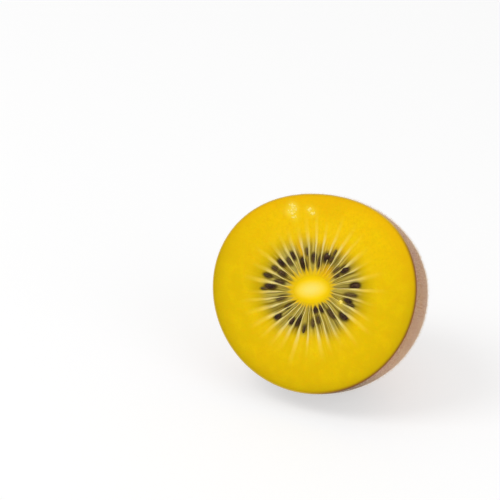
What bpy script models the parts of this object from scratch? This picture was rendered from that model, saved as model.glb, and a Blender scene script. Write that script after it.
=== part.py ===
"""One half of a golden kiwi fruit, cut across a little past its middle.

The half lies on its side with the cut face leaning back, and rests on a small flat spot under
its weight. Metres, +Z up. The origin is on the surface that the fruit lies on, under the middle
of its outline. +X is the widest way across the fruit and the cut face looks towards -Y.

Every piece is drawn in the fruit's own frame: x across the widest section, y up the cut face,
z out of the cut face, so that the fruit's body runs down along -z to the stem end.
"""
import math

import bmesh
import bpy
from mathutils import Euler, Vector

MM = 0.001

# The whole fruit's form
HALF_WIDTH = 26.5 * MM
HALF_HEIGHT = 23.9 * MM
HALF_LENGTH = 36.0 * MM
CUT_PAST_MIDDLE = 3.2 * MM
BLUNTNESS = 2.3
THREE_SIDED = 0.0165
THREE_SIDED_TURN = math.radians(43)
FOUR_SIDED = 0.0047
FOUR_SIDED_TURN = math.radians(52)

# How it lies
FACE_LEAN = math.radians(30)
FLAT_SPOT_RISE = 0.40 * MM

# Skin, and the gap that parts each piece from the next
SKIN_THICKNESS = 0.80 * MM
SKIN_AT_FLAT_SPOT = 0.70 * MM
GAP = 0.30 * MM

# Stem end
DIMPLE_DEPTH = 1.2 * MM
DIMPLE_REACH = 6.0 * MM
SCAR_RADIUS = 4.0 * MM
SCAR_RING_RADIUS = 2.8 * MM
SCAR_RING_WIDTH = 0.85 * MM
SCAR_RING_RISE = 1.25 * MM
SCAR_PIT_DROP = 0.15 * MM
SCAR_LUMPS = 11
SCAR_LUMP_RISE = 0.22 * MM

# Core, an oval spindle that runs most of the way to the stem end
CORE_CENTRE = Vector((-0.5, 0.45)) * MM
CORE_HALF_WIDTH = 4.7 * MM
CORE_HALF_HEIGHT = 3.7 * MM
CORE_DEPTH = 26.0 * MM
CORE_CROWN = 0.15 * MM

# Cut face: thin pale walls stand a little proud between the seed chambers
WALL_RISE = 0.12 * MM
CHAMBER_DROP = 0.10 * MM
WALL_START = 0.06
WALL_END = 0.62
WALLS = (
    0, 12, 24, 36, 46, 57, 66, 77, 89, 99, 109, 118, 129, 138, 148, 159, 171, 183, 195, 203, 213,
    224, 235, 245, 254, 266, 279, 293, 303, 314, 326, 339, 348,
)

# Seeds, as they lie round the core: degrees from +x, and distance from the core's centre in mm
SEED_LENGTH = 2.6 * MM
SEED_WIDTH = 1.4 * MM
SEED_THICKNESS = 1.1 * MM
SEED_SUNK = 0.15 * MM
SEED_MARGIN = 0.25 * MM
SEEDS = (
    (5, 10.0), (17, 11.0), (40, 7.1), (42, 9.3), (50, 7.6), (69, 8.6), (70, 10.4), (78, 8.4),
    (88, 6.9), (101, 7.6), (112, 9.2), (123, 6.7), (135, 9.6), (144, 9.0), (154, 10.3),
    (165, 11.0), (166, 8.7), (176, 12.1), (180, 8.6), (188, 10.8), (191, 12.4), (207, 8.1),
    (226, 7.3), (229, 10.8), (249, 9.0), (259, 8.1), (272, 9.6), (286, 8.0), (297, 7.4),
    (295, 4.9), (311, 5.2), (324, 7.7), (335, 10.5), (352, 10.6), (356, 9.5),
)

# Mesh fineness
TURN_STEPS = 72
SKIN_RINGS = 14
FLESH_RINGS = 12
CORE_STEPS = 36
CORE_RINGS = 8
SCAR_STEPS = 44
FACE_SHARES = (0.85, 0.66, 0.55, 0.42, 0.3, 0.2, 0.1, 0)
PROBE_RINGS = 40
SCAR_TOP_SHARES = (0.2, 0.4, 0.55, 0.7, 0.82, 0.93, 1)
SCAR_UNDER_SHARES = (1, 0.6, 0.2)

CUT_SHARE = (1 - (CUT_PAST_MIDDLE / HALF_LENGTH) ** BLUNTNESS) ** 0.5


def oval(turn, half_width, half_height):
    """Distance from the centre of an oval to its edge."""
    return 1 / math.hypot(math.cos(turn) / half_width, math.sin(turn) / half_height)


def section_radius(turn):
    """Distance from the fruit's axis to its skin in the cut plane."""
    uneven = THREE_SIDED * math.cos(3 * (turn - THREE_SIDED_TURN))
    uneven += FOUR_SIDED * math.cos(4 * (turn - FOUR_SIDED_TURN))
    return oval(turn, HALF_WIDTH, HALF_HEIGHT) * (1 + uneven)


def body_depth(turn, reach, inset):
    """Depth below the cut plane of the fruit's surface, set in by an even thickness."""
    share = min(reach * CUT_SHARE / (section_radius(turn) - inset), 1)
    length = HALF_LENGTH - inset
    depth = length * (1 - share ** 2) ** (1 / BLUNTNESS)
    dimple = DIMPLE_DEPTH * math.exp(-(reach / DIMPLE_REACH) ** 2)
    return depth - length * CUT_PAST_MIDDLE / HALF_LENGTH - dimple


def body_point(turn, reach, inset):
    depth = max(body_depth(turn, reach, inset), 0)
    return Vector((reach * math.cos(turn), reach * math.sin(turn), -depth))


def body_ring(turns, climb, inset, last_reach):
    """Points round the body: climb 0 is the cut plane, climb 1 ends at last_reach from the axis."""
    ring = []
    for turn in turns:
        radius = section_radius(turn) - inset
        start = math.acos(CUT_SHARE)
        stop = math.acos(last_reach * CUT_SHARE / radius)
        reach = radius * math.cos(start + climb * (stop - start)) / CUT_SHARE
        ring.append(body_point(turn, reach, inset))
    return ring


def even_turns(count):
    return [math.tau * i / count for i in range(count)]


def join_rings(rings, closed=False):
    """One surface over rings of equal length; a ring of one point closes an end."""
    mesh = bmesh.new()
    rows = [[mesh.verts.new(point) for point in ring] for ring in rings]
    if closed:
        rows.append(rows[0])
    for low, high in zip(rows, rows[1:]):
        for i in range(max(len(low), len(high))):
            corners = (low[i % len(low)], low[(i + 1) % len(low)],
                       high[(i + 1) % len(high)], high[i % len(high)])
            mesh.faces.new(list(dict.fromkeys(corners)))
    bmesh.ops.recalc_face_normals(mesh, faces=mesh.faces)
    return mesh


def flatten(mesh, faces, level):
    """Cut a surface level below a height over the fruit's resting plane and close the cut."""
    up = Vector((0, math.cos(FACE_LEAN), math.sin(FACE_LEAN)))
    verts = {vert for face in faces for vert in face.verts}
    edges = {edge for face in faces for edge in face.edges}
    cut = bmesh.ops.bisect_plane(mesh, geom=[*verts, *edges, *faces], dist=1e-7,
                                 plane_co=up * level, plane_no=up, clear_inner=True)
    rim = [item for item in cut["geom_cut"] if isinstance(item, bmesh.types.BMEdge)]
    bmesh.ops.contextual_create(mesh, geom=rim)
    bmesh.ops.recalc_face_normals(mesh, faces=mesh.faces)


def height(point):
    """Height of a point of the fruit's frame, measured upright, from the frame's origin."""
    return point.y * math.cos(FACE_LEAN) + point.z * math.sin(FACE_LEAN)


def finish_material(name, colour, roughness):
    material = bpy.data.materials.new(name)
    material.use_nodes = True
    shader = material.node_tree.nodes["Principled BSDF"]
    shader.inputs["Base Color"].default_value = (*colour, 1)
    shader.inputs["Roughness"].default_value = roughness
    shader.inputs["Metallic"].default_value = 0
    material.diffuse_color = (*colour, 1)
    return material


def add_piece(name, mesh, parent, material):
    data = bpy.data.meshes.new(name)
    mesh.to_mesh(data)
    mesh.free()
    data.materials.append(material)
    data.shade_smooth()
    data.set_sharp_from_angle(angle=math.radians(40))
    piece = bpy.data.objects.new(name, data)
    bpy.context.scene.collection.objects.link(piece)
    piece.parent = parent
    return piece


def skin_mesh(flat_level):
    """The thin skin, open at the cut face and where the stem scar sits."""
    turns = even_turns(TURN_STEPS)
    hole = SCAR_RADIUS + GAP
    outer = [body_ring(turns, i / SKIN_RINGS, 0, hole) for i in range(SKIN_RINGS, -1, -1)]
    inner = [body_ring(turns, i / SKIN_RINGS, SKIN_THICKNESS, hole)
             for i in range(SKIN_RINGS + 1)]
    mesh = join_rings(outer + inner, closed=True)
    mesh.faces.ensure_lookup_table()
    outer_faces = mesh.faces[:SKIN_RINGS * TURN_STEPS]
    flatten(mesh, outer_faces, flat_level)
    mesh.faces.ensure_lookup_table()
    inner_faces = [face for face in mesh.faces if on_inner_wall(face)]
    flatten(mesh, inner_faces, flat_level + SKIN_AT_FLAT_SPOT)
    return mesh


def on_inner_wall(face):
    """True where every corner of a face lies on the inner wall of the skin."""
    for vert in face.verts:
        turn = math.atan2(vert.co.y, vert.co.x)
        inner = body_point(turn, math.hypot(vert.co.x, vert.co.y), SKIN_THICKNESS)
        if abs(inner.z - vert.co.z) > 0.25 * SKIN_THICKNESS:
            return False
    return True


def core_ring(turns, depth, grow):
    """Oval of the core at a depth, made larger all round by grow for the pocket it sits in."""
    share = min(depth / (CORE_DEPTH + grow), 1)
    taper = (1 - share ** 3) ** 0.5
    ring = []
    for turn in turns:
        reach = oval(turn, CORE_HALF_WIDTH + grow, CORE_HALF_HEIGHT + grow) * taper
        ring.append(Vector((CORE_CENTRE.x + reach * math.cos(turn),
                            CORE_CENTRE.y + reach * math.sin(turn), -depth)))
    return ring


def core_mesh():
    turns = even_turns(CORE_STEPS)
    depths = [CORE_DEPTH * math.sin(math.pi / 2 * i / CORE_RINGS) for i in range(CORE_RINGS)]
    rings = [[Vector((*CORE_CENTRE, CORE_CROWN))]]
    rings += [core_ring(turns, depth, 0) for depth in depths]
    rings.append([Vector((*CORE_CENTRE, -CORE_DEPTH))])
    return join_rings(rings)


def face_ring(turns, share):
    """Ring of the cut face, share 0 at the core's pocket and 1 at the skin, with its walls."""
    ring = []
    pocket = core_ring(turns, 0, GAP)
    rim = body_ring(turns, 0, SKIN_THICKNESS + GAP, GAP)
    along = (share - WALL_START) / (WALL_END - WALL_START)
    swell = math.sin(math.pi * along) ** 0.5 if 0 < along < 1 else 0
    for i, (start, stop) in enumerate(zip(pocket, rim)):
        point = start.lerp(stop, share)
        point.z = swell * (WALL_RISE if i % 2 == 0 else -CHAMBER_DROP)
        ring.append(point)
    return ring


def flesh_mesh(flat_level):
    """The flesh: the dome inside the skin, the walled cut face and the pocket of the core."""
    walls = [math.radians(degrees) for degrees in WALLS]
    turns = []
    for here, after in zip(walls, walls[1:] + [walls[0] + math.tau]):
        turns += [here, (here + after) / 2]
    inset = SKIN_THICKNESS + GAP
    dome = [[body_point(0, 0, inset)]]
    dome += [body_ring(turns, i / FLESH_RINGS, inset, GAP) for i in range(FLESH_RINGS, -1, -1)]
    face = [face_ring(turns, share) for share in FACE_SHARES]
    depths = [(CORE_DEPTH + GAP) * math.sin(math.pi / 2 * i / CORE_RINGS)
              for i in range(1, CORE_RINGS)]
    pocket = [core_ring(turns, depth, GAP) for depth in depths]
    pocket.append([Vector((*CORE_CENTRE, -CORE_DEPTH - GAP))])
    mesh = join_rings(dome + face + pocket)
    mesh.faces.ensure_lookup_table()
    dome_faces = mesh.faces[:(FLESH_RINGS + 1) * len(turns)]
    flatten(mesh, dome_faces, flat_level + SKIN_AT_FLAT_SPOT + GAP)
    return mesh


def seed_mesh(degrees, distance):
    """One seed, a flattened oval lying along its spoke, half sunk in the cut face."""
    turn = math.radians(degrees)
    pocket_edge = oval(turn, CORE_HALF_WIDTH + GAP, CORE_HALF_HEIGHT + GAP)
    distance = max(distance, pocket_edge + SEED_LENGTH / 2 + SEED_MARGIN)
    mesh = bmesh.new()
    bmesh.ops.create_uvsphere(mesh, u_segments=8, v_segments=6, radius=0.5)
    bmesh.ops.rotate(mesh, verts=mesh.verts, matrix=Euler((0, math.pi / 2, 0)).to_matrix())
    bmesh.ops.scale(mesh, verts=mesh.verts, vec=(SEED_LENGTH, SEED_WIDTH, SEED_THICKNESS))
    bmesh.ops.rotate(mesh, verts=mesh.verts, matrix=Euler((0, 0, turn)).to_matrix())
    place = Vector((CORE_CENTRE.x + distance * math.cos(turn),
                    CORE_CENTRE.y + distance * math.sin(turn), -SEED_SUNK))
    bmesh.ops.translate(mesh, verts=mesh.verts, vec=place)
    return mesh


def fuse_seeds(flesh, parent, material):
    """Grow the seeds into the flesh as one body."""
    seeds = bpy.data.collections.new("seeds")
    bpy.context.scene.collection.children.link(seeds)
    for number, (degrees, distance) in enumerate(SEEDS):
        seed = add_piece(f"seed_{number}", seed_mesh(degrees, distance * MM), parent, material)
        bpy.context.scene.collection.objects.unlink(seed)
        seeds.objects.link(seed)
    union = flesh.modifiers.new("seeds", "BOOLEAN")
    union.operation = "UNION"
    union.operand_type = "COLLECTION"
    union.collection = seeds
    union.solver = "EXACT"
    with bpy.context.temp_override(object=flesh, active_object=flesh, selected_objects=[flesh]):
        bpy.ops.object.modifier_apply(modifier=union.name)
    for seed in list(seeds.objects):
        bpy.data.objects.remove(seed)
    bpy.data.collections.remove(seeds)


def scar_ring(turns, reach, under):
    """Ring of the stem scar: its underside follows the skin's inner wall, its top the cork."""
    ring = []
    for turn in turns:
        point = body_point(turn, reach, SKIN_THICKNESS if under else 0)
        if not under:
            lump = 1 + SCAR_LUMP_RISE / SCAR_RING_RISE * math.cos(SCAR_LUMPS * turn)
            lump += 0.5 * SCAR_LUMP_RISE / SCAR_RING_RISE * math.cos(3 * turn + 1)
            rise = SCAR_RING_RISE * lump
            rise *= math.exp(-((reach - SCAR_RING_RADIUS) / SCAR_RING_WIDTH) ** 2)
            pit = SCAR_PIT_DROP * math.exp(-(reach / (0.5 * SCAR_RING_RADIUS)) ** 2)
            point.z -= rise - pit
        ring.append(point)
    return ring


def scar_mesh():
    turns = even_turns(SCAR_STEPS)
    top = [scar_ring(turns, SCAR_RADIUS * share, False) for share in SCAR_TOP_SHARES]
    bottom = [scar_ring(turns, SCAR_RADIUS * share, True) for share in SCAR_UNDER_SHARES]
    rings = [scar_ring([0], 0, False), *top, *bottom, scar_ring([0], 0, True)]
    return join_rings(rings)


for old in list(bpy.data.objects):
    bpy.data.objects.remove(old, do_unlink=True)

fruit = bpy.data.objects.new("kiwi_half", None)
bpy.context.scene.collection.objects.link(fruit)

probe = [body_ring(even_turns(TURN_STEPS), i / PROBE_RINGS, 0, GAP) for i in range(PROBE_RINGS)]
lowest = min(height(point) for ring in probe for point in ring)
flat_level = lowest + FLAT_SPOT_RISE

skin = add_piece("skin", skin_mesh(flat_level), fruit,
                 finish_material("bronze_skin", (0.42, 0.22, 0.14), 0.75))
flesh_finish = finish_material("gold_flesh", (0.83, 0.57, 0.004), 0.35)
flesh = add_piece("flesh", flesh_mesh(flat_level), fruit, flesh_finish)
fuse_seeds(flesh, fruit, flesh_finish)
core = add_piece("core", core_mesh(), fruit,
                 finish_material("pale_core", (1.0, 0.81, 0.19), 0.4))
scar = add_piece("stem_scar", scar_mesh(), fruit,
                 finish_material("corky_scar", (0.40, 0.26, 0.10), 0.85))

# Lean the fruit back and stand its flat spot on the ground, under the middle of its outline
fruit.rotation_euler = Euler((math.pi / 2 - FACE_LEAN, 0, 0))
bpy.context.view_layer.update()
corners = [skin.matrix_world @ vert.co for vert in skin.data.vertices]
low = Vector(min(corner[i] for corner in corners) for i in range(3))
high = Vector(max(corner[i] for corner in corners) for i in range(3))
fruit.location = (-(low.x + high.x) / 2, -(low.y + high.y) / 2, -low.z)
bpy.context.view_layer.update()
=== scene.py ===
"""The look of one half of a golden kiwi fruit, lying with its cut face tilted back.

The fruit is built from the core outwards: core, flesh, seeds, juice, skin, fuzz and stem scar.
Each but the fuzz is drawn in the fruit's own frame, with x across its widest way, y up the cut
face and z out of it, and is then set where the frame's nodes lie.
"""
import math

import bpy
import numpy as np
from mathutils import Matrix, Vector


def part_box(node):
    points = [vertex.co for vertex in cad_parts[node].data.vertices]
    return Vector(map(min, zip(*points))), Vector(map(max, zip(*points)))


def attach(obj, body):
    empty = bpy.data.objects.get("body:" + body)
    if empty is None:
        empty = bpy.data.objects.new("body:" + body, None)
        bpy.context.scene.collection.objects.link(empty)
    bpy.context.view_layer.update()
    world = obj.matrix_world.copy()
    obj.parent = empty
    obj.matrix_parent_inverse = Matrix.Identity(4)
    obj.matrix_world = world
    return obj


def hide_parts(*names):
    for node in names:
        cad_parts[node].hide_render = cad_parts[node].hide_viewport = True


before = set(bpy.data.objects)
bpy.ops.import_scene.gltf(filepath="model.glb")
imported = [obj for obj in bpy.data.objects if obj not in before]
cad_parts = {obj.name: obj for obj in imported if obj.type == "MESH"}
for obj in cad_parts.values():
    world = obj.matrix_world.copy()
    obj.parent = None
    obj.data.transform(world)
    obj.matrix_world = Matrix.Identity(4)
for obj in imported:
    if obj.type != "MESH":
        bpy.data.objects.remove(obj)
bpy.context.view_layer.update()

# The core: a firm oval spindle of pale storage tissue that runs up the middle of the fruit.
# It grew as one with the flesh, so it has no seam, only a change from cream through bright
# yellow. The cut leaves its end flat and moist.

# A millimetre in the scene's metres
MM = 0.001
# The whole fruit: half of each of its sizes, how far past its middle the knife went, how blunt
# its ends are, and the cut section as a share of the widest one
HALF_WIDTH = 26.5 * MM
HALF_HEIGHT = 23.9 * MM
HALF_LENGTH = 36.0 * MM
CUT_PAST_MIDDLE = 3.2 * MM
BLUNTNESS = 2.3
CUT_SHARE = (1 - (CUT_PAST_MIDDLE / HALF_LENGTH) ** BLUNTNESS) ** 0.5
# Its section is slightly three-sided and four-sided, by shares of its size
THREE_SIDED = 0.0165
THREE_SIDED_TURN = math.radians(43)
FOUR_SIDED = 0.0047
FOUR_SIDED_TURN = math.radians(52)
OUTLINE_STEPS = 72
FACE_LEAN = math.radians(30)
# The core: its middle, half of its sizes on the cut, its tilt, its depth and its blunt tip
CORE_X, CORE_Y = -0.5 * MM, 0.45 * MM
CORE_HALF_WIDTH = 4.6 * MM
CORE_HALF_HEIGHT = 3.3 * MM
CORE_TILT = math.radians(13)
CORE_DEPTH = 26.0 * MM
CORE_BLUNTNESS = 3
CORE_AROUND = 360
CORE_FACE_ROWS = 24
CORE_SIDE_ROWS = 10
# The cream patch in its middle, how softly it fades, and how the rim of the core darkens
CREAM_TILT = math.radians(18)
CREAM_HALF_WIDTH = 4.1 * MM
CREAM_HALF_HEIGHT = 2.1 * MM
CREAM_SHIFT = 0.25 * MM
CREAM_FADE = (0.1, 1.2)
EDGE_FADE = (0.6, 1.0)


def oval(turn, half_width, half_height):
    """Distance from the centre of an oval to its edge."""
    return 1 / np.hypot(np.cos(turn) / half_width, np.sin(turn) / half_height)


def section_radius(turn):
    """Distance from the fruit's axis to the outside of its skin in the cut plane."""
    uneven = THREE_SIDED * np.cos(3 * (turn - THREE_SIDED_TURN))
    uneven += FOUR_SIDED * np.cos(4 * (turn - FOUR_SIDED_TURN))
    return oval(turn, HALF_WIDTH, HALF_HEIGHT) * (1 + uneven)


def set_in_fruit():
    """Turn and move from the fruit's own frame to where its nodes lie."""
    turns = np.arange(OUTLINE_STEPS) * math.tau / OUTLINE_STEPS
    rim = section_radius(turns)
    low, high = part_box("skin")
    place = (low.x - (rim * np.cos(turns)).min(),
             low.y - (rim * np.sin(turns)).min() * math.sin(FACE_LEAN),
             high.z - (rim * np.sin(turns)).max() * math.cos(FACE_LEAN))
    return Matrix.Translation(place) @ Matrix.Rotation(math.pi / 2 - FACE_LEAN, 4, "X")


IN_PLACE = set_in_fruit()


def points_of(piece):
    """The places of a piece's points, one row for each."""
    flat = np.empty(len(piece.data.vertices) * 3)
    piece.data.vertices.foreach_get("co", flat)
    return flat.reshape(-1, 3)


def rise(value, low, high):
    """A smooth step from 0 at low to 1 at high."""
    t = np.clip((value - low) / (high - low), 0, 1)
    return t * t * (3 - 2 * t)


# Points closer than the first are one, edges shorter than the second go, and sides of a mesh
# that meet at less than the third are shaded as one smooth surface
SAME_POINT = 1e-7
NO_LENGTH = 1e-8
SMOOTH_BELOW = math.radians(40)


def rolled(name, around, along, shape):
    """Roll up a flat grid: from turn and row, shape gives points and fields kept with them."""
    bpy.ops.mesh.primitive_grid_add(x_subdivisions=around, y_subdivisions=along, size=1)
    piece = bpy.context.object
    piece.name = piece.data.name = name
    flat = points_of(piece) + 0.5
    points, fields = shape(flat[:, 0] * math.tau, np.rint(flat[:, 1] * along))
    piece.data.vertices.foreach_set("co", np.column_stack(points).ravel())
    for label, values in fields.items():
        layer = piece.data.attributes.new(label, "FLOAT", "POINT")
        layer.data.foreach_set("value", np.asarray(values, np.float32))
    bpy.ops.object.mode_set(mode="EDIT")
    bpy.ops.mesh.select_all(action="SELECT")
    bpy.ops.mesh.remove_doubles(threshold=SAME_POINT)
    bpy.ops.mesh.dissolve_degenerate(threshold=NO_LENGTH)
    bpy.ops.mesh.normals_make_consistent(inside=False)
    bpy.ops.object.mode_set(mode="OBJECT")
    bpy.ops.object.shade_smooth_by_angle(angle=SMOOTH_BELOW)
    return piece


def core_point(turn, depth):
    """A point on the side of the core at a depth below the cut."""
    taper = np.sqrt(1 - np.clip(depth / CORE_DEPTH, 0, 1) ** CORE_BLUNTNESS)
    reach = oval(turn - CORE_TILT, CORE_HALF_WIDTH, CORE_HALF_HEIGHT) * taper
    return np.array([CORE_X + reach * np.cos(turn), CORE_Y + reach * np.sin(turn), -depth])


def core_shape(turn, row):
    """The core from the middle of its cut end, row by row, out to its edge and down its side."""
    across = np.clip(row / CORE_FACE_ROWS, 0, 1)
    down = np.clip((row - CORE_FACE_ROWS) / CORE_SIDE_ROWS, 0, 1)
    x, y, z = core_point(turn, CORE_DEPTH * np.sin(down * math.pi / 2))
    right, up = (x - CORE_X) * across, (y - CORE_Y) * across
    aside = right + CREAM_SHIFT
    far = np.hypot(aside, up) / oval(np.arctan2(up, aside) - CREAM_TILT,
                                     CREAM_HALF_WIDTH, CREAM_HALF_HEIGHT)
    return (CORE_X + right, CORE_Y + up, z), {"heart": 1 - rise(far, *CREAM_FADE),
                                              "edge": rise(across, *EDGE_FADE)}


def settled(piece, level):
    """Press a piece flat where the fruit's weight rests on the table."""
    at = points_of(piece)
    at[:, 2] = np.maximum(at[:, 2], level)
    piece.data.vertices.foreach_set("co", at.ravel())


def finished(piece, material, node=None):
    piece.data.transform(IN_PLACE)
    piece.data.materials.clear()
    piece.data.materials.append(material)
    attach(piece, "root")
    if node:
        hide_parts(node)


def linear(code):
    """An sRGB hex colour as the linear values that a shader reads."""
    parts = [int(code[i:i + 2], 16) / 255 for i in (1, 3, 5)]
    return (*(c / 12.92 if c <= 0.04045 else ((c + 0.055) / 1.055) ** 2.4 for c in parts), 1)


def add(tree, kind, inputs, **settings):
    """Add a node with its settings; each input is given a value or another node's output."""
    node = tree.nodes.new(kind)
    for name, value in settings.items():
        setattr(node, name, value)
    for name, value in inputs.items():
        if isinstance(value, bpy.types.NodeSocket):
            tree.links.new(value, node.inputs[name])
        else:
            node.inputs[name].default_value = value
    return node


# The sockets of a colour mix, by number
FACTOR, FIRST, SECOND, MIXED = 0, 6, 7, 2


def blend_colours(tree, first, second, factor):
    """The output of a colour mix, from two colours or outputs and a factor."""
    mix = add(tree, "ShaderNodeMix", {FACTOR: factor, FIRST: first, SECOND: second},
              data_type="RGBA")
    return mix.outputs[MIXED]


def patches(tree, size, low, high, detail=3.0):
    """Patches of noise about size across, set on the fruit's axes, rising from low to high."""
    place = add(tree, "ShaderNodeTexCoord", {}).outputs["Object"]
    turned = add(tree, "ShaderNodeMapping", {
        "Vector": place, "Rotation": (math.pi / 2 - FACE_LEAN, 0, 0)}, vector_type="TEXTURE")
    noise = add(tree, "ShaderNodeTexNoise", {
        "Vector": turned.outputs["Vector"], "Scale": 1 / size, "Detail": detail,
        "Roughness": 0.6})
    spread = add(tree, "ShaderNodeMapRange", {"Value": noise.outputs["Fac"],
                                              "From Min": low, "From Max": high})
    return spread.outputs["Result"]


def field(tree, name):
    """The output of a field that is kept with a piece's points."""
    return add(tree, "ShaderNodeAttribute", {}, attribute_name=name).outputs["Fac"]


def new_finish(name, shader_values):
    """A material with the constant values of its shader set, and its node tree."""
    material = bpy.data.materials.new(name)
    material.use_nodes = True
    shader = material.node_tree.nodes["Principled BSDF"]
    for socket, value in shader_values.items():
        shader.inputs[socket].default_value = value
    return material, material.node_tree, shader


# Moist fruit tissue, cut: satiny, with a little light that goes in and comes out warmer
WET_FLESH = {"IOR": 1.36, "Roughness": 0.32, "Specular IOR Level": 0.08,
             "Subsurface Weight": 0.2, "Subsurface Scale": 0.8 * MM,
             "Subsurface Radius": (1.0, 0.55, 0.08)}
CORE_CREAM = linear("#F8E068")
CORE_GOLD = linear("#FAD208")
CORE_EDGE = linear("#EEC404")

# Moist storage tissue: pale starchy cream in the middle, clear bright yellow at the edge
core_finish, tree, shader = new_finish("moist_core_tissue", WET_FLESH)
colour = blend_colours(tree, CORE_GOLD, CORE_EDGE, field(tree, "edge"))
colour = blend_colours(tree, colour, CORE_CREAM, field(tree, "heart"))
tree.links.new(colour, shader.inputs["Base Color"])

core = rolled("core_tissue", CORE_AROUND, CORE_FACE_ROWS + CORE_SIDE_ROWS, core_shape)
finished(core, core_finish, "core")

# The flesh: juicy tissue that fills the skin, cut across with a knife. Pale thin walls fan out
# from the core and fade towards the skin. Between them are the seed chambers, filled with a
# clear olive jelly that sits a little lower than the walls and darkens round the seeds.

SKIN_THICKNESS = 0.25 * MM
# The dimple at the stem end, and the pit in its middle
DIMPLE_DEPTH = 1.2 * MM
DIMPLE_REACH = 6.0 * MM
PIT_DEPTH = 0.9 * MM
PIT_REACH = 1.4 * MM
# Columns of the mesh and bunches of threads in each chamber, and rows down the core's pocket,
# across the cut and along the body
PER_CHAMBER = 28
STRANDS = 8
POCKET_ROWS = 8
FACE_ROWS = 84
BODY_ROWS = 10
WALL_RISE = 0.10 * MM
JELLY_DROP = 0.09 * MM
# Shares by which the walls differ in strength and width, and how far out they end in mm
WALL_STRENGTHS = (0.75, 1.0)
WALL_WIDTHS = (0.8, 1.25)
WALL_ENDS = (16.5, 20.0)
# Half a wall's width near the core in mm, and how much it gains outwards, over which stretch
WALL_THIN = 0.11
WALL_GAIN = 0.34
WALL_GAINS = (7 * MM, 15 * MM)
# Where a wall starts and ends to fade sideways, as shares of its half width; the gold fan at
# its foot moves both apart. It fades lengthwise from this share of its end
WALL_FULL, WALL_GONE = 0.3, 1.5
FAN_FULL, FAN_GONE = 0.25, 0.3
WALL_END_FADE = 0.6
# The relief of walls and jelly grows from the core's edge over this distance
RELIEF_GROWS = 1.5 * MM
# Pale knots along a wall: how much it fades between them, their spacing and shift wall by wall
KNOT_FADE = 0.13
KNOT_SPACING = 0.6 * MM
KNOT_SHIFT = 2.4
# How far out the jelly ends in mm: on average, further to both sides, further left, and uneven
JELLY_END = 15.4
JELLY_SIDEWAYS = 2.0
JELLY_LEFT = 0.6
JELLY_UNEVEN = 0.9
JELLY_STRENGTHS = (0.8, 1.0)
# It begins this far inside the core's edge, is full at this share of the gold fan, and fades
# from this share of its end
JELLY_START = -0.3 * MM
JELLY_FULL = 0.6
JELLY_END_FADE = 0.66
# How far the gold of the core fans out along the walls in mm: further at one turn, and uneven
FAN_REACH = 2.2
FAN_FURTHER = 0.9
FAN_TURN = math.radians(130)
FAN_UNEVEN = 0.4
# It begins inside the core's edge and spreads over this share of a chamber; its colour fades
# between two shares of its reach
FAN_START = -0.8 * MM
FAN_SPREAD = 0.6
FAN_FADE = (0.4, 1.5)
# Waver of the walls: its swing and length in mm, how it changes round the core, and its start
WAVERS = ((0.07, 1.4, 5, 0), (0.025, 0.5, 11, 1))
# They run steadier within these distances of the core's edge and of the skin
STEADY_INNER, STEADY_OUTER = 2 * MM, 3 * MM
# The stretch over which bunches of threads change, and how strongly bunch and thread show
BUNCHES = (5 * MM, 12 * MM)
BUNCH_SHOWS = 1.3
THREAD_SHOWS = 0.4
# Distances over which the jelly and the walls turn yellow, and the pale streaks fade
YELLOWING = (10 * MM, 14.5 * MM)
STREAK_FADE = (13 * MM, 20 * MM)
STREAK_STRENGTH = 0.35
# Widths of the browned rim and of the darker band inside it, and the rim's least strength
RIM_WIDTH = 0.32 * MM
RIM_LEAST = 0.12
RIM_BAND_WIDTH = 2.0 * MM
# Heights between which the flesh is painted lighter towards the top, as painted light from above
LIT_FROM_ABOVE = (-3 * MM, 21 * MM)
# Shade round a seed: how far it reaches past its ends and sides in mm, and how it fades
SHADE_LONG, SHADE_WIDE = 0.2, 0.3
SHADE_FADE = (0.7, 1.3)
# Shares of that shade which a veil over the seed and a wall over the jelly take away
VEIL_LIGHTENS = 0.5
WALL_LIGHTENS = 0.7
# The side where the skin has browned the rim
BROWNED_TURN = math.radians(-15)
BROWNED_FADE = (0.3, 0.8)
# Distances from the core's middle at which the turns of the walls are given, and the one at
# which the core's pocket takes its own; past them a wall runs on straight, within limits
WALL_INNER, WALL_OUTER = 6.0 * MM, 12.0 * MM
POCKET_TURNS = 3 * MM
LEAN_LIMITS = (-0.4, 1.4)
FLESH_DRAW = 12
# Each wall's turn round the core in degrees, 6 mm and 12 mm from the core's middle
WALLS = (
    (3, 0), (15, 12), (24, 24), (33, 36), (43, 46), (53, 57), (63, 66), (73, 77), (84, 89),
    (96, 99), (109, 109), (120, 118), (133, 129), (142, 138), (153, 148), (162, 159),
    (174, 171), (186, 183), (198, 195), (208, 203), (218, 213), (229, 224), (238, 235),
    (248, 245), (256, 254), (265, 266), (277, 279), (289, 293), (304, 303), (316, 314),
    (331, 326), (342, 339), (353, 348),
)
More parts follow.
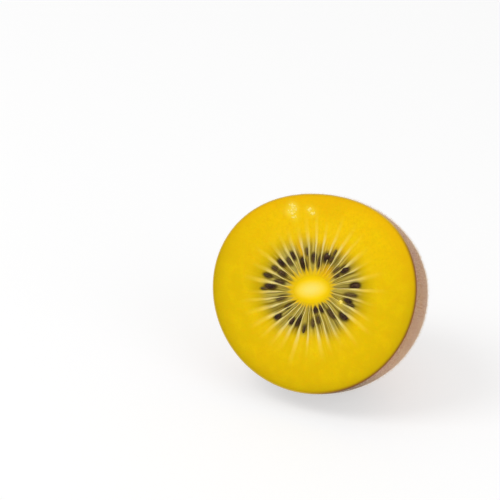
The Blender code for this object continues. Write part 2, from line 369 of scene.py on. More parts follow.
# Each seed's turn round the core in degrees, its distance from the core's middle, length and
# width in mm, and how far jelly veils it, from 0 for a bare seed to 1
SEEDS = (
    (5, 10.0, 3.3, 0.88, 0.50), (17, 11.0, 2.7, 1.43, 0.00), (40, 7.1, 1.8, 0.99, 0.40),
    (42, 9.3, 2.8, 1.87, 0.00), (50, 7.6, 2.5, 0.77, 0.60), (69, 8.6, 2.1, 0.88, 0.35),
    (70, 10.4, 2.3, 0.77, 0.60), (78, 8.4, 2.9, 1.87, 0.00), (88, 6.9, 3.5, 0.88, 0.30),
    (101, 7.6, 2.6, 1.21, 0.10), (112, 9.2, 2.0, 0.77, 0.55), (123, 6.7, 3.3, 1.10, 0.00),
    (135, 9.6, 2.5, 0.99, 0.15), (144, 9.0, 2.4, 1.32, 0.45), (154, 10.3, 2.7, 1.21, 0.00),
    (165, 11.0, 2.0, 0.99, 0.35), (166, 8.7, 2.7, 1.32, 0.20), (176, 12.1, 2.6, 0.88, 0.25),
    (180, 8.6, 2.9, 0.77, 0.30), (188, 10.8, 3.3, 1.32, 0.00), (191, 12.4, 2.0, 0.55, 0.45),
    (207, 8.1, 3.2, 1.10, 0.60), (226, 7.3, 2.2, 0.77, 0.45), (229, 10.8, 2.1, 1.54, 0.00),
    (249, 9.0, 2.1, 1.43, 0.05), (259, 8.1, 3.1, 0.99, 0.15), (272, 9.6, 2.6, 0.99, 0.30),
    (286, 8.0, 2.4, 0.99, 0.50), (297, 7.4, 2.3, 0.99, 0.45), (295, 4.9, 1.8, 1.54, 0.00),
    (311, 5.2, 2.3, 0.99, 0.10), (324, 7.7, 3.1, 0.99, 0.30), (335, 10.5, 2.8, 1.54, 0.00),
    (352, 10.6, 2.1, 0.88, 0.40), (356, 9.5, 2.7, 0.99, 0.00),
)
# Amber stains: turn round the core and spread in degrees, nearest and furthest mm from its middle
AMBER_SPOTS = ((61, 18, 2.0, 8.5), (121, 4, 6.0, 15.0))
# Each patch of sprayed juice: its place on the cut and its spread in mm, and how many droplets
SPRAY = (
    (-10.5, 19.0, 0.34, 0.16, 11), (-9.7, 18.4, 0.30, 0.20, 8), (-10.6, 17.3, 0.65, 0.20, 12),
    (-9.1, 16.3, 0.40, 0.22, 5), (-5.7, 18.9, 0.40, 0.16, 9), (-4.8, 18.1, 0.30, 0.20, 4),
    (7.4, -1.0, 0.30, 0.15, 6),
)
# A painted highlight, the haze of the glints, reaches this far past a patch, and is full where
# the patch has this many
HAZE_REACH = 0.7 * MM
FULL_PATCH = 12
# Steps in which the turn of a point on the rim is found, each closer than the last
RIM_TRIES = 6
# Keeps a column of the mesh that lies on a wall in the chamber that starts there
ON_WALL = 1e-6


def body_point(turn, reach, inset):
    """A point of the fruit's round body, set in from its skin by an even thickness."""
    share = np.clip(reach * CUT_SHARE / (section_radius(turn) - inset), 0, 1)
    length = HALF_LENGTH - inset
    depth = length * (1 - share ** 2) ** (1 / BLUNTNESS)
    depth -= length * CUT_PAST_MIDDLE / HALF_LENGTH
    depth -= DIMPLE_DEPTH * np.exp(-(reach / DIMPLE_REACH) ** 2)
    return np.array([reach * np.cos(turn), reach * np.sin(turn), -np.maximum(depth, 0)])


def stem_pit(reach):
    """Depth of the pit in the middle of the stem scar at a distance from the fruit's axis."""
    return PIT_DEPTH * np.exp(-(reach / PIT_REACH) ** 2)


def body_shape(turn, climb, inset, last_reach=0.0):
    """A point of the round body, from climb 0 at the cut to climb 1 at last_reach."""
    radius = section_radius(turn) - inset
    start = math.acos(CUT_SHARE)
    stop = np.arccos(last_reach * CUT_SHARE / radius)
    reach = radius * np.cos(start + climb * (stop - start)) / CUT_SHARE
    return body_point(turn, np.maximum(reach, 0), inset)


def rim_turn(turn):
    """Turn round the fruit's axis of the rim point that lies at a turn round the core."""
    found = turn
    for _ in range(RIM_TRIES):
        reach = section_radius(found) - SKIN_THICKNESS
        seen = np.arctan2(reach * np.sin(found) - CORE_Y, reach * np.cos(found) - CORE_X)
        found = found + np.mod(turn - seen + math.pi, math.tau) - math.pi
    return found


class Chambers:
    """The walls that columns of the flesh's mesh follow, and the chamber that each lies in."""

    def __init__(self, turn):
        column = turn / math.tau * len(WALLS)
        self.first = np.minimum(np.floor(column + ON_WALL).astype(int), len(WALLS) - 1)
        self.part = np.clip(column - self.first, 0, 1)
        inner, outer = np.radians(np.array(WALLS + ((WALLS[0][0] + 360, WALLS[0][1] + 360),))).T
        self.inner, self.outer = inner, outer
        self.near = np.where(self.part < 0.5, self.first, (self.first + 1) % len(WALLS))

    def turns(self, distance):
        """Turn of each column, and the turn from wall to wall, at a distance from the core."""
        lean = np.clip((WALL_OUTER / distance - 1) / (WALL_OUTER / WALL_INNER - 1), *LEAN_LIMITS)
        sides = [self.outer[i] + (self.inner[i] - self.outer[i]) * lean
                 for i in (self.first, self.first + 1)]
        return sides[0] + (sides[1] - sides[0]) * self.part, sides[1] - sides[0]


def seed_shade(right, up):
    """How dark the jelly is over the buried sides of the seeds."""
    shade = np.zeros_like(right)
    for degrees, distance, length, width, veil in SEEDS:
        turn = math.radians(degrees)
        along = right * math.cos(turn) + up * math.sin(turn) - distance * MM
        aside = up * math.cos(turn) - right * math.sin(turn)
        far = np.hypot(along / ((length / 2 + SHADE_LONG) * MM),
                       aside / ((width / 2 + SHADE_WIDE) * MM))
        shade = np.maximum(shade, (1 - rise(far, *SHADE_FADE)) * (1 - VEIL_LIGHTENS * veil))
    return shade


def haze_of_glints(across, along):
    """How strongly a painted highlight, a pale haze of glints, shows round the droplets of the
    spray.
    """
    glint_haze = np.zeros_like(across)
    for x, y, spread_x, spread_y, count in SPRAY:
        far = ((across - x * MM) / (spread_x * MM + HAZE_REACH)) ** 2
        far += ((along - y * MM) / (spread_y * MM + HAZE_REACH)) ** 2
        glint_haze += count / FULL_PATCH * np.exp(-far)
    return np.clip(glint_haze, 0, 1)


def skin_side(turn):
    """How far the rim is browned by the skin, most on the right and not at all on the left."""
    return rise(np.cos(turn - BROWNED_TURN), *BROWNED_FADE)


def amber_stain(here, distance):
    """How strongly the flesh is stained amber."""
    amber = np.zeros_like(distance)
    for degrees, spread, low, high in AMBER_SPOTS:
        swing = np.mod(here - math.radians(degrees) + math.pi, math.tau) - math.pi
        beam = np.exp(-(swing / math.radians(spread)) ** 2)
        beam *= 1 - rise(np.abs(distance - (low + high) / 2 * MM), 0, (high - low) / 2 * MM)
        amber = np.maximum(amber, beam)
    return amber


def jelly_threads(chambers, distance, threads, bunches):
    """How pale the jelly's fine threads are, which run outwards in loose bunches."""
    column = np.minimum((chambers.part * PER_CHAMBER).astype(int), PER_CHAMBER - 1)
    strand = chambers.part * STRANDS
    low = np.minimum(strand.astype(int), STRANDS - 1)
    bunch = [bunches[end, chambers.first, low] * (1 - strand + low)
             + bunches[end, chambers.first, low + 1] * (strand - low) for end in (0, 1)]
    bunch = bunch[0] + (bunch[1] - bunch[0]) * rise(distance, *BUNCHES)
    return np.clip(0.5 + BUNCH_SHOWS * (bunch - 0.5)
                   + THREAD_SHOWS * (threads[chambers.first, column] - 0.5), 0, 1)


def cut_surface(chambers, here, distance, arc, from_core, to_skin):
    """The fields that colour the cut, and how far walls and jelly stand out of its plane."""
    draw = np.random.default_rng(FLESH_DRAW)
    count = len(WALLS)
    strength = draw.uniform(*WALL_STRENGTHS, count)
    width = draw.uniform(*WALL_WIDTHS, count)
    wall_end = draw.uniform(*WALL_ENDS, count) * MM
    wall_turn = np.radians(np.array(WALLS)[:, 1])
    jelly_end = (JELLY_END + JELLY_SIDEWAYS * np.cos(2 * wall_turn)
                 - JELLY_LEFT * np.cos(wall_turn)
                 + draw.uniform(-JELLY_UNEVEN, JELLY_UNEVEN, count)) * MM
    jelly_strength = draw.uniform(*JELLY_STRENGTHS, count)
    fan = (FAN_REACH + FAN_FURTHER * np.cos(wall_turn - FAN_TURN)
           + draw.uniform(-FAN_UNEVEN, FAN_UNEVEN, count)) * MM
    threads = draw.uniform(0, 1, (count, PER_CHAMBER))
    bunches = draw.uniform(0, 1, (2, count, STRANDS + 1))

    from_wall = np.minimum(chambers.part, 1 - chambers.part) * arc
    thin = (WALL_THIN + WALL_GAIN * rise(distance, *WALL_GAINS)) * MM * width[chambers.near]
    fan = fan[chambers.near]
    gold = 1 - rise(from_core, FAN_START, fan)
    half = thin + FAN_SPREAD * arc * gold
    wall = 1 - rise(from_wall, (WALL_FULL - FAN_FULL * gold) * half,
                    (WALL_GONE + FAN_GONE * gold) * half)
    wall *= strength[chambers.near] * (1 - KNOT_FADE + KNOT_FADE * np.sin(
        distance / KNOT_SPACING + KNOT_SHIFT * chambers.near))
    wall_end = wall_end[chambers.near]
    wall *= 1 - rise(distance, WALL_END_FADE * wall_end, wall_end)
    jelly = rise(from_core, JELLY_START, JELLY_FULL * fan)
    jelly *= jelly_strength[chambers.first]
    jelly_end = jelly_end[chambers.first]
    jelly *= 1 - rise(distance, JELLY_END_FADE * jelly_end, jelly_end)
    thread = jelly_threads(chambers, distance, threads, bunches)
    relief = (WALL_RISE * wall - JELLY_DROP * jelly * (1 - wall)) * rise(
        from_core, 0, RELIEF_GROWS)
    right, up = distance * np.cos(here), distance * np.sin(here)
    return {
        "wall": wall, "jelly": jelly, "thread": thread,
        "shade": seed_shade(right, up) * jelly * (1 - WALL_LIGHTENS * wall),
        "inner": 1 - rise(from_core, FAN_FADE[0] * fan, FAN_FADE[1] * fan),
        "outer": rise(distance, *YELLOWING),
        "rim": np.exp(-(to_skin / RIM_WIDTH) ** 2) * (
            RIM_LEAST + (1 - RIM_LEAST) * skin_side(here)),
        # rim_band: the flesh darker in a band just inside its rim
        "rim_band": np.exp(-to_skin / RIM_BAND_WIDTH), "amber": amber_stain(here, distance),
        "streak": STREAK_STRENGTH * thread * (1 - rise(distance, *STREAK_FADE)),
        # top: painted light from above, the cut lighter towards its top
        "top": rise(up, *LIT_FROM_ABOVE), "glint_haze": haze_of_glints(CORE_X + right, CORE_Y + up)}, relief


def flesh_shape(turn, row):
    """The flesh from the foot of the core's pocket, over the cut and round the body."""
    down = np.clip(1 - row / POCKET_ROWS, 0, 1)
    across = np.clip((row - POCKET_ROWS) / FACE_ROWS, 0, 1)
    climb = np.clip((row - POCKET_ROWS - FACE_ROWS) / BODY_ROWS, 0, 1)
    chambers = Chambers(turn)
    start_turn, _ = chambers.turns(POCKET_TURNS)
    stop_turn, _ = chambers.turns(HALF_WIDTH)
    start = oval(start_turn - CORE_TILT, CORE_HALF_WIDTH, CORE_HALF_HEIGHT)
    body_turn = rim_turn(stop_turn)
    rim = body_shape(body_turn, 0, SKIN_THICKNESS)
    stop = np.hypot(rim[0] - CORE_X, rim[1] - CORE_Y)
    distance = start + (stop - start) * across
    from_core, to_skin = distance - start, stop - distance
    here, gap = chambers.turns(distance)
    waver = sum(swing * np.sin(distance / (length * MM) + around * turn + begin)
                for swing, length, around, begin in WAVERS)
    waver *= rise(from_core, 0, STEADY_INNER) * rise(to_skin, 0, STEADY_OUTER)
    here = here + waver * MM / distance

    fields, relief = cut_surface(chambers, here, distance, gap * distance, from_core, to_skin)
    on_face = (down == 0) & (climb == 0)
    fields = {label: values * on_face for label, values in fields.items()}
    pocket = core_point(start_turn, CORE_DEPTH * np.sin(down * math.pi / 2))
    body = body_shape(body_turn, climb, SKIN_THICKNESS)
    body[2] += stem_pit(np.hypot(body[0], body[1]))
    face = np.array([CORE_X + distance * np.cos(here), CORE_Y + distance * np.sin(here),
                     relief * (across < 1)])
    return np.where(down > 0, pocket, np.where(climb > 0, body, face)), fields


# Juicy flesh, knife cut: wet and satiny, golden, mottled by its cells, with a faint glow
flesh_finish, tree, shader = new_finish("wet_cut_flesh", WET_FLESH)
FLESH_LOW = linear("#E0BA00")
FLESH_LIT_TOP = linear("#F4C700")
FLESH_AMBER = linear("#E6AE02")
FLESH_LEMON = linear("#EECE00")
FLESH_STREAK = linear("#F6D020")
# The pale lemon of a painted highlight round the juice glints
GLINT_HAZE = linear("#F6D63A")
WALL_CREAM = linear("#E8D688")
WALL_GOLD = linear("#ECC006")
WALL_YELLOW = linear("#F2CE3C")
JELLY_OLIVE = linear("#4E400C")
JELLY_GREY = linear("#BEAC52")
JELLY_GOLD = linear("#B89C00")
SEED_BROWN = linear("#301E0C")
FLESH_STAIN = linear("#DCAA04")
RIM_LOW = linear("#C2A200")
RIM_LIT_TOP = linear("#EAB400")
RIM_BROWN = linear("#8E6014")
# Painted light from above: the flesh goes from its lower colour to a lighter, warmer one towards
# the top of the cut
colour = blend_colours(tree, FLESH_LOW, FLESH_LIT_TOP, field(tree, "top"))
colour = blend_colours(tree, colour, FLESH_AMBER, patches(tree, 12 * MM, 0.45, 0.8))
colour = blend_colours(tree, colour, FLESH_LEMON, patches(tree, 3 * MM, 0.45, 0.8))
colour = blend_colours(tree, colour, FLESH_STREAK, field(tree, "streak"))
colour = blend_colours(tree, colour, FLESH_LOW, patches(tree, 0.7 * MM, 0.42, 0.9))
colour = blend_colours(tree, colour, FLESH_AMBER, patches(tree, 1.5 * MM, 0.5, 1.0))
# The darker band inside the rim, also painted lighter towards the top as painted light from above
rim_colour = blend_colours(tree, RIM_LOW, RIM_LIT_TOP, field(tree, "top"))
colour = blend_colours(tree, colour, rim_colour, field(tree, "rim_band"))
jelly_colour = blend_colours(tree, JELLY_OLIVE, JELLY_GREY, field(tree, "thread"))
jelly_colour = blend_colours(tree, jelly_colour, JELLY_GOLD, field(tree, "outer"))
colour = blend_colours(tree, colour, jelly_colour, field(tree, "jelly"))
colour = blend_colours(tree, colour, FLESH_STAIN, field(tree, "amber"))
colour = blend_colours(tree, colour, SEED_BROWN, field(tree, "shade"))
wall_colour = blend_colours(tree, WALL_CREAM, WALL_GOLD, field(tree, "inner"))
wall_colour = blend_colours(tree, wall_colour, WALL_YELLOW, field(tree, "outer"))
colour = blend_colours(tree, colour, wall_colour, field(tree, "wall"))
# Painted highlight: a pale lemon haze of glints round the sprayed droplets
colour = blend_colours(tree, colour, GLINT_HAZE, field(tree, "glint_haze"))
colour = blend_colours(tree, colour, RIM_BROWN, field(tree, "rim"))
tree.links.new(colour, shader.inputs["Base Color"])
cells = add(tree, "ShaderNodeBump", {"Strength": 0.5, "Distance": 0.08 * MM,
                                     "Height": patches(tree, 0.5 * MM, 0.2, 0.8)})
tree.links.new(cells.outputs["Normal"], shader.inputs["Normal"])

flesh = rolled("flesh_tissue", len(WALLS) * PER_CHAMBER, POCKET_ROWS + FACE_ROWS + BODY_ROWS,
               flesh_shape)
finished(flesh, flesh_finish, "flesh")
settled(flesh, SKIN_THICKNESS)

# The seeds: hard glossy ovals, black brown and wet, each lying along its spoke in the jelly of
# a chamber. Some stand bare in the cut, others are still veiled by jelly and look brown.

# Hard wet seed coat: nearly black brown, smooth enough to carry a small clear glint
seed_finish, tree, shader = new_finish("wet_seed_coat", {
    "IOR": 1.45, "Roughness": 0.38, "Specular IOR Level": 0.15})
SEED_BLACK = linear("#281308")
SEED_VEILED = linear("#7E6830")
SEED_SHEER = linear("#5C4028")
colour = blend_colours(tree, SEED_BLACK, SEED_SHEER, patches(tree, 0.9 * MM, 0.45, 0.8))
colour = blend_colours(tree, colour, SEED_VEILED, field(tree, "veil"))
tree.links.new(colour, shader.inputs["Base Color"])

# A seed's egg shape, its height and how deep it sits, as shares
SEED_TAPER, SEED_PINCH = 0.3, 0.2
SEED_HEIGHT = 0.8
SEED_SUNK = 0.30
# The veil's strength, the gap between its stripes, and how strongly these show on a bare seed
# and how much more on a veiled one
VEIL_STRENGTH = 0.7
STRAND_GAP = 0.42 * MM
STRAND_BARE, STRAND_VEILED = 0.1, 0.3
seed_pieces = []
for degrees, distance, length, width, veil in SEEDS:
    turn = math.radians(degrees)
    place = (CORE_X + distance * MM * math.cos(turn), CORE_Y + distance * MM * math.sin(turn),
             -SEED_SUNK * width * MM)
    bpy.ops.mesh.primitive_uv_sphere_add(segments=28, ring_count=12, radius=0.5,
                                         rotation=(0, math.pi / 2, 0))
    bpy.ops.object.transform_apply()
    seed = bpy.context.object
    at = points_of(seed)
    at[:, 1:] *= (1 + SEED_TAPER * at[:, 0] - SEED_PINCH * at[:, 0] ** 2)[:, None]
    at *= (length * MM, width * MM, SEED_HEIGHT * width * MM)
    seed.data.vertices.foreach_set("co", at.ravel())
    seed.data.transform(Matrix.Translation(place) @ Matrix.Rotation(turn, 4, "Z"))
    strand = np.sin(at[:, 1] / (STRAND_GAP / math.tau) + degrees)
    layer = seed.data.attributes.new("veil", "FLOAT", "POINT")
    shown = VEIL_STRENGTH * veil + (STRAND_BARE + STRAND_VEILED * veil) * strand
    layer.data.foreach_set("value", shown.astype(np.float32))
    seed_pieces.append(seed)
bpy.ops.object.select_all(action="DESELECT")
for seed in seed_pieces:
    seed.select_set(True)
bpy.context.view_layer.objects.active = seed_pieces[0]
bpy.ops.object.join()
seeds = bpy.context.object
seeds.name = seeds.data.name = "seeds"
bpy.ops.object.shade_smooth()
finished(seeds, seed_finish)

# The juice: a fine spray of droplets that the knife left, most of them near the top of the cut.
# They cling to the flesh in flat drops and catch the light in small broken glints.

DROPLET_SIZES = (0.15 * MM, 0.38 * MM)
DROPLET_WIDTHS = (0.5, 1)
DROPLET_HEIGHT = 0.4
JUICE_DRAW = 3
# Clear juice, taken as opaque: a pale gold between the flesh and its glints, its paleness a
# painted highlight, wet but soft
juice_finish, tree, shader = new_finish("clear_kiwi_juice", {
    "Base Color": linear("#F9DC48"), "IOR": 1.5, "Roughness": 0.36, "Specular IOR Level": 1.0})

draw = np.random.default_rng(JUICE_DRAW)
droplets = []
for x, y, spread_x, spread_y, count in SPRAY:
    for _ in range(count):
        size = draw.uniform(*DROPLET_SIZES)
        place = (draw.normal(x, spread_x) * MM, draw.normal(y, spread_y) * MM, 0)
        bpy.ops.mesh.primitive_uv_sphere_add(segments=12, ring_count=8, radius=size)
        droplet = bpy.context.object
        droplet.data.transform(
            Matrix.Translation(place) @ Matrix.Rotation(draw.uniform(0, math.pi), 4, "Z")
            @ Matrix.Diagonal((1, draw.uniform(*DROPLET_WIDTHS), DROPLET_HEIGHT, 1)))
        droplets.append(droplet)
for droplet in droplets:
    droplet.select_set(True)
bpy.ops.object.join()
juice = bpy.context.object
juice.name = juice.data.name = "juice_droplets"
bpy.ops.object.shade_smooth()
finished(juice, juice_finish)

# The skin: a thin dry leathery coat, grown on the flesh. It is bronze brown, freckled with pale
# specks, and ends in a clean thin edge where the knife went through.

SKIN_AROUND = 360
SKIN_ROWS = 110
EDGE_ROWS = 3
INNER_ROWS = 20
SCAR_RADIUS = 4.0 * MM
# Flesh shows through the skin close to the cut: over which share of the way from there to the
# stem end, and how strongly
SHOWING_THROUGH = 0.03
THROUGH_STRENGTH = 0.7
# Painted shade: the skin is darker low down, between these sines of the turn below the middle,
# and less so between these shares of the way to the stem end. The stem end is greyer over a share
# of it
LOW_SIDE = (0.5, 0.85)
LOW_FADE = (0.2, 0.65)
GREY_END = 0.12


def skin_shape(turn, row):
    """The skin's outside from scar to cut, over its edge, back along its inside, and closed."""
    climb = np.clip(1 - row / SKIN_ROWS, 0, 1)
    inward = np.clip((row - SKIN_ROWS) / EDGE_ROWS, 0, 1)
    back = np.clip((row - SKIN_ROWS - EDGE_ROWS) / INNER_ROWS, 0, 1)
    closing = row > SKIN_ROWS + EDGE_ROWS + INNER_ROWS
    climb = np.maximum(climb, back)
    inset = SKIN_THICKNESS * np.where(closing, 0, inward)
    near_cut = (1 - rise(climb, 0, SHOWING_THROUGH)) * (1 - skin_side(turn))
    return body_shape(turn, climb, inset, SCAR_RADIUS), {
        "cut": np.maximum(rise(inward, 0, 0.5), THROUGH_STRENGTH * near_cut),
        "side": skin_side(turn),
        # low: painted shade on the underside near the cut
        "low": rise(-np.sin(turn), *LOW_SIDE) * (1 - rise(climb, *LOW_FADE)),
        "end": np.exp(-(1 - climb) / GREY_END)}


# Dry skin with a thin fuzz: matt bronze, mottled, with pale corky specks about 0.3 mm across
skin_finish, tree, shader = new_finish("bronze_fruit_skin", {
    "Roughness": 0.72, "Sheen Weight": 0.4, "Sheen Roughness": 0.3,
    "Sheen Tint": linear("#F4DCC4"), "Specular IOR Level": 0.3})
SKIN_BRONZE = linear("#AE7E58")
SKIN_ROSE = linear("#AC7868")
SKIN_RUST = linear("#A4683A")
SKIN_GREY = linear("#84695E")
SKIN_DARK = linear("#5E3A26")
SKIN_SHADE = linear("#4E321E")
SPECK_BEIGE = linear("#DCBC9A")
SKIN_CUT = linear("#D2B040")
SKIN_BRIM = linear("#805020")
colour = blend_colours(tree, SKIN_BRONZE, SKIN_ROSE, patches(tree, 6 * MM, 0.4, 0.65))
colour = blend_colours(tree, colour, SKIN_RUST, patches(tree, 3.5 * MM, 0.42, 0.8))
colour = blend_colours(tree, colour, SKIN_GREY, field(tree, "end"))
colour = blend_colours(tree, colour, SKIN_DARK, patches(tree, 0.55 * MM, 0.48, 0.85, detail=2.0))
colour = blend_colours(tree, colour, SPECK_BEIGE, patches(tree, 0.33 * MM, 0.46, 0.8, detail=2.0))
# Painted shade: the skin darkens low down near the cut, where it turns away from the light
colour = blend_colours(tree, colour, SKIN_SHADE, field(tree, "low"))
cut_colour = blend_colours(tree, SKIN_CUT, SKIN_BRIM, field(tree, "side"))
colour = blend_colours(tree, colour, cut_colour, field(tree, "cut"))
tree.links.new(colour, shader.inputs["Base Color"])
grain = add(tree, "ShaderNodeBump", {"Strength": 0.6, "Distance": 0.08 * MM,
                                     "Height": patches(tree, 0.6 * MM, 0.3, 0.7)})
tree.links.new(grain.outputs["Normal"], shader.inputs["Normal"])

skin = rolled("skin_coat", SKIN_AROUND, SKIN_ROWS + EDGE_ROWS + INNER_ROWS + 1, skin_shape)
finished(skin, skin_finish, "skin")
settled(skin, 0)

# The fuzz: very short stiff pale hairs that stand out of the skin all over and lean a little
# towards the stem end. They thin out low down, and are gone where the fruit rests on the table.

HAIRS = 29000
HAIR_SIDES = 3
HAIR_LENGTHS = (0.3 * MM, 0.8 * MM)
HAIR_RADIUS = 0.012 * MM
# Shares by which a hair leans to the stem end and to any side
HAIR_LEAN = 0.35
HAIR_STRAY = 0.25
# Height above the table below which the hairs thin out, and below which there are none
WORN_BELOW = 16 * MM
BARE_BELOW = 1.0 * MM
# A point well inside the fruit, as a share of its half length, tells outside from inside; a
# side of the skin's mesh that looks at the cut more than this lies on its edge
DEEP_INSIDE = 0.4
EDGE_FACING = 0.5
FUZZ_DRAW = 7


def hair_mesh():
    """Three-sided cones rooted at random on the outside of the skin."""
    draw = np.random.default_rng(FUZZ_DRAW)
    sides = len(skin.data.polygons)
    centres, normals = np.empty(sides * 3), np.empty(sides * 3)
    areas = np.empty(sides)
    skin.data.polygons.foreach_get("center", centres)
    skin.data.polygons.foreach_get("normal", normals)
    skin.data.polygons.foreach_get("area", areas)
    centres, normals = centres.reshape(-1, 3), normals.reshape(-1, 3)
    middle = np.array(IN_PLACE @ Vector((0, 0, -DEEP_INSIDE * HALF_LENGTH)))
    face_normal = np.array(IN_PLACE.to_3x3() @ Vector((0, 0, 1)))
    outside = ((centres - middle) * normals).sum(1) > 0
    outside &= (normals @ face_normal < EDGE_FACING) & (centres[:, 2] > BARE_BELOW)
    share = areas * outside * rise(centres[:, 2], 0, WORN_BELOW)
    chosen = draw.choice(sides, HAIRS, p=share / share.sum())
    across = np.sqrt(areas[chosen])[:, None] / 2
    normal = normals[chosen]
    root = centres[chosen] + np.cross(normal, draw.normal(size=(HAIRS, 3))) * across
    lean = draw.normal(size=(HAIRS, 3)) * HAIR_STRAY - face_normal * HAIR_LEAN
    way = normal + lean
    way /= np.linalg.norm(way, axis=1)[:, None]
    side = np.cross(way, draw.normal(size=(HAIRS, 3)))
    side /= np.linalg.norm(side, axis=1)[:, None]
    other = np.cross(way, side)
    points = np.empty((HAIRS, HAIR_SIDES + 1, 3))
    for corner in range(HAIR_SIDES):
        swing = corner * math.tau / HAIR_SIDES
        points[:, corner] = root + HAIR_RADIUS * (side * math.cos(swing)
                                                  + other * math.sin(swing)) - way * HAIR_RADIUS
    points[:, HAIR_SIDES] = root + way * draw.uniform(*HAIR_LENGTHS, HAIRS)[:, None]
    first = np.arange(HAIRS)[:, None, None] * (HAIR_SIDES + 1)
    round_tip = [(i, (i + 1) % HAIR_SIDES, HAIR_SIDES) for i in range(HAIR_SIDES)]
    faces = (first + np.array(round_tip)).reshape(-1, 3)
    mesh = bpy.data.meshes.new("fuzz")
    mesh.from_pydata(points.reshape(-1, 3).tolist(), [], faces.tolist())
    return mesh


# Dry pale hair, matt
hair_finish, tree, shader = new_finish("pale_skin_fuzz", {
    "Base Color": linear("#E6D0B0"), "Roughness": 0.8, "Specular IOR Level": 0.2})
fuzz = bpy.data.objects.new("fuzz", hair_mesh())
bpy.context.scene.collection.objects.link(fuzz)
fuzz.data.materials.append(hair_finish)
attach(fuzz, "root")

# The stem scar: a lumpy ring of cork round a dark pit, left where the ripe fruit came off its
# stem. It sits in a shallow dimple of the skin.

SCAR_RING_RADIUS = 2.7 * MM
SCAR_RING_WIDTH = 0.8 * MM
SCAR_RING_RISE = 1.1 * MM
SCAR_THICKNESS = 0.6 * MM
# A ragged flake of cork round the ring: how thick it is, how far it runs over the skin in mm, and
# the waves of its edge, each with its size in mm, number and start
SCAR_FLAKE = 0.06 * MM
FLAKE_REACH = 0.5
FLAKE_WAVES = ((0.2, 3, 1), (0.15, 5, 0), (0.1, 11, 0))
# Lumps of the ring: their mean height, and each wave's size, number, twist and start
LUMP_LEVEL = 0.75
LUMP_WAVES = ((0.2, 7, 5, 0), (0.15, 12, -7, 1), (0.1, 19, 11, 0), (0.2, 2, 0, 2))
LUMP_FADE = (0.25, 1.0)
# The underside stays clear of the skin's hole; the pit darkens inwards, the edge outwards as
# painted shadow
UNDER_SHARE = 0.95
PIT_FADE = (0.6 * MM, 2.0 * MM)
FLAKE_SHADOW_FADE = (3.2 * MM, 4.3 * MM)
SCAR_AROUND = 160
TOP_ROWS = 50
UNDER_ROWS = 10


def scar_shape(turn, row):
    """The scar from its pit, over the ring and its flake, and back under to the middle."""
    top = np.clip(row / TOP_ROWS, 0, 1)
    under = np.clip(1 - (row - TOP_ROWS) / UNDER_ROWS, 0, 1)
    on_top = row <= TOP_ROWS
    ragged = SCAR_RADIUS + MM * (FLAKE_REACH + sum(
        size * np.cos(number * turn + begin) for size, number, begin in FLAKE_WAVES))
    reach = np.where(on_top, ragged * top, UNDER_SHARE * SCAR_RADIUS * under)
    x, y, z = body_point(turn, reach, np.where(on_top, 0.0, SCAR_THICKNESS))
    lump = LUMP_LEVEL + sum(size * np.cos(number * turn + twist * top + begin)
                            for size, number, twist, begin in LUMP_WAVES)
    ring = np.exp(-((reach - SCAR_RING_RADIUS) / SCAR_RING_WIDTH) ** 2)
    lift = (SCAR_RING_RISE * lump * ring + SCAR_FLAKE) * on_top
    return (x, y, z - lift + stem_pit(reach)), {
        # edge: painted shadow round the scar's outer edge
        "pit": 1 - rise(reach, *PIT_FADE), "edge": rise(reach, *FLAKE_SHADOW_FADE),
        # lump: the cork's tan, with painted highlight on the crests
        "lump": rise(ring * lump, *LUMP_FADE)}


# Dry cork: olive brown, tan on the lumps partly as painted highlight, rough, nearly black brown
# down in the pit
scar_finish, tree, shader = new_finish("dry_stem_cork", {"Roughness": 0.9})
CORK_TAN = linear("#CEAC78")
CORK_BROWN = linear("#8C683E")
CORK_OLIVE = linear("#5C4628")
CORK_PIT = linear("#2E1C0C")
# The cork's own tan on the lumps and brown between them, with painted highlight on the crests and
# painted shade between
colour = blend_colours(tree, CORK_BROWN, CORK_TAN, field(tree, "lump"))
colour = blend_colours(tree, colour, CORK_OLIVE, patches(tree, 0.7 * MM, 0.48, 0.75))
# Painted shadow: the outer edge of the cork darkens to olive where the skin dips round the scar
colour = blend_colours(tree, colour, CORK_OLIVE, field(tree, "edge"))
colour = blend_colours(tree, colour, CORK_PIT, field(tree, "pit"))
tree.links.new(colour, shader.inputs["Base Color"])
crust = add(tree, "ShaderNodeBump", {"Strength": 0.8, "Distance": 0.12 * MM,
                                     "Height": patches(tree, 0.5 * MM, 0.2, 0.8)})
tree.links.new(crust.outputs["Normal"], shader.inputs["Normal"])
scar = rolled("stem_cork", SCAR_AROUND, TOP_ROWS + UNDER_ROWS, scar_shape)
finished(scar, scar_finish, "stem_scar")

# The studio: a plain pale floor, a large soft light from the upper left, a fill from the right
# and an even pale surround.

FLOOR_SIZE = 4.0
bpy.ops.mesh.primitive_plane_add(size=FLOOR_SIZE)
floor = bpy.context.object
floor.name = "floor"
# Plain matt pale paper, with a faint glow of its own so that it stays pale all over
floor_finish, tree, shader = new_finish("pale_floor", {
    "Base Color": linear("#B0B0B0"), "Roughness": 0.7, "Emission Color": (1, 1, 1, 1),
    "Emission Strength": 0.56})
floor.data.materials.append(floor_finish)

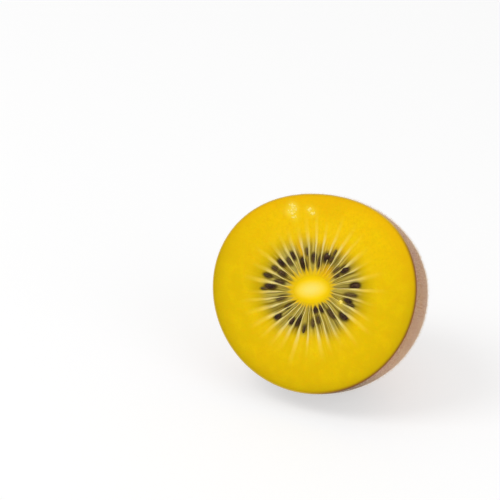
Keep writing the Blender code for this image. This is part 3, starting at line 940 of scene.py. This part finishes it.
# The camera: its turn round the fruit and its height, its distance and scale, and the point of
# a square picture where the middle of the cut comes
VIEW_TURN = math.radians(25.9)
VIEW_RISE = math.radians(27.8)
VIEW_DISTANCE = 650 * MM
PIXELS_PER_MM = 4.20
FRAME_PIXELS = 500
SENSOR_MM = 36.0
FACE_PIXEL = (313.9, 291.1)

scene = bpy.context.scene
away = Vector((math.sin(VIEW_TURN) * math.cos(VIEW_RISE),
               -math.cos(VIEW_TURN) * math.cos(VIEW_RISE), math.sin(VIEW_RISE)))
right = Vector((math.cos(VIEW_TURN), math.sin(VIEW_TURN), 0))
up = away.cross(right)
face_middle = IN_PLACE @ Vector((0, 0, 0))
offset_right = (FACE_PIXEL[0] - FRAME_PIXELS / 2) / PIXELS_PER_MM * MM
offset_up = (FRAME_PIXELS / 2 - FACE_PIXEL[1]) / PIXELS_PER_MM * MM
aim = face_middle - right * offset_right - up * offset_up
lens = PIXELS_PER_MM / MM * VIEW_DISTANCE * SENSOR_MM / FRAME_PIXELS
bpy.ops.object.camera_add(location=face_middle + away * VIEW_DISTANCE)
camera = bpy.context.object
camera.rotation_euler = (aim - camera.location).to_track_quat("-Z", "Y").to_euler()
camera.data.lens = lens
camera.data.sensor_width = SENSOR_MM
camera.data.clip_start = 10 * MM
scene.camera = camera


def soft_light(name, place, size, power):
    """A square soft box aimed at the fruit."""
    bpy.ops.object.light_add(type="AREA", location=place)
    light = bpy.context.object
    light.name = name
    light.data.size = size
    light.data.energy = power
    light.rotation_euler = (face_middle - light.location).to_track_quat("-Z", "Y").to_euler()


soft_light("key", (-0.45, -0.35, 0.75), 0.5, 3.2)
soft_light("fill", (0.7, -0.3, 0.45), 0.6, 1.4)
SURROUND_STRENGTH = 0.62
world = bpy.data.worlds.new("pale_surround")
world.use_nodes = True
background = world.node_tree.nodes["Background"]
background.inputs["Color"].default_value = (1, 1, 1, 1)
background.inputs["Strength"].default_value = SURROUND_STRENGTH
scene.world = world
scene.view_settings.view_transform = "Standard"
